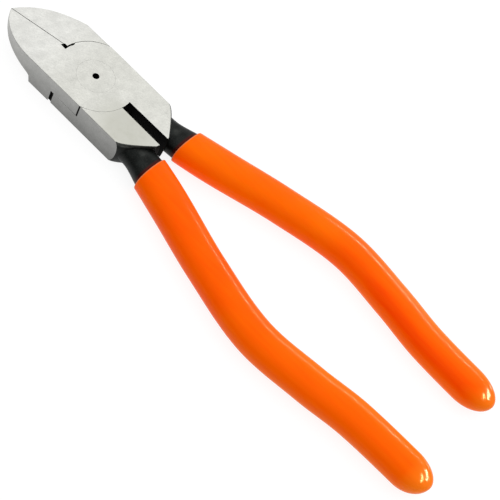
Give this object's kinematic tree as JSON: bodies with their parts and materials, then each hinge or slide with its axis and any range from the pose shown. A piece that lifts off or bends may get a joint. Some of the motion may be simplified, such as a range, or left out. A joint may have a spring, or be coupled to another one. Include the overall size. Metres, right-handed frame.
{
  "type": "diagonal cutting pliers",
  "caption": "Slim diagonal cutting pliers: riveted lap joint, flat ground head with long skewed cutting edges, bowed handles in glossy dipped vinyl grips.",
  "frame": {"origin": "rivet axis at the underside of the head, the plane that the closed tool lies on", "axes": "+Y from the rivet to the jaw tips, +Z along the rivet out of the flat face, +X to the side of the right handle"},
  "size_m": [0.0566, 0.1838, 0.0095],
  "materials": {
    "ground_steel": "satin",
    "rivet_steel": "satin",
    "orange_vinyl": "gloss"
  },
  "bodies": {
    "lower_lever": {"lower_lever": "ground_steel", "left_grip": "orange_vinyl", "pivot_rivet": "rivet_steel"},
    "upper_lever": {"upper_lever": "ground_steel", "right_grip": "orange_vinyl"}
  },
  "joints": [
    {"name": "pivot", "type": "hinge", "parent": "lower_lever", "child": "upper_lever", "pos_m": [0, 0, 0.00475], "axis": [0, 0, 1], "range_deg": [0, 40]}
  ]
}
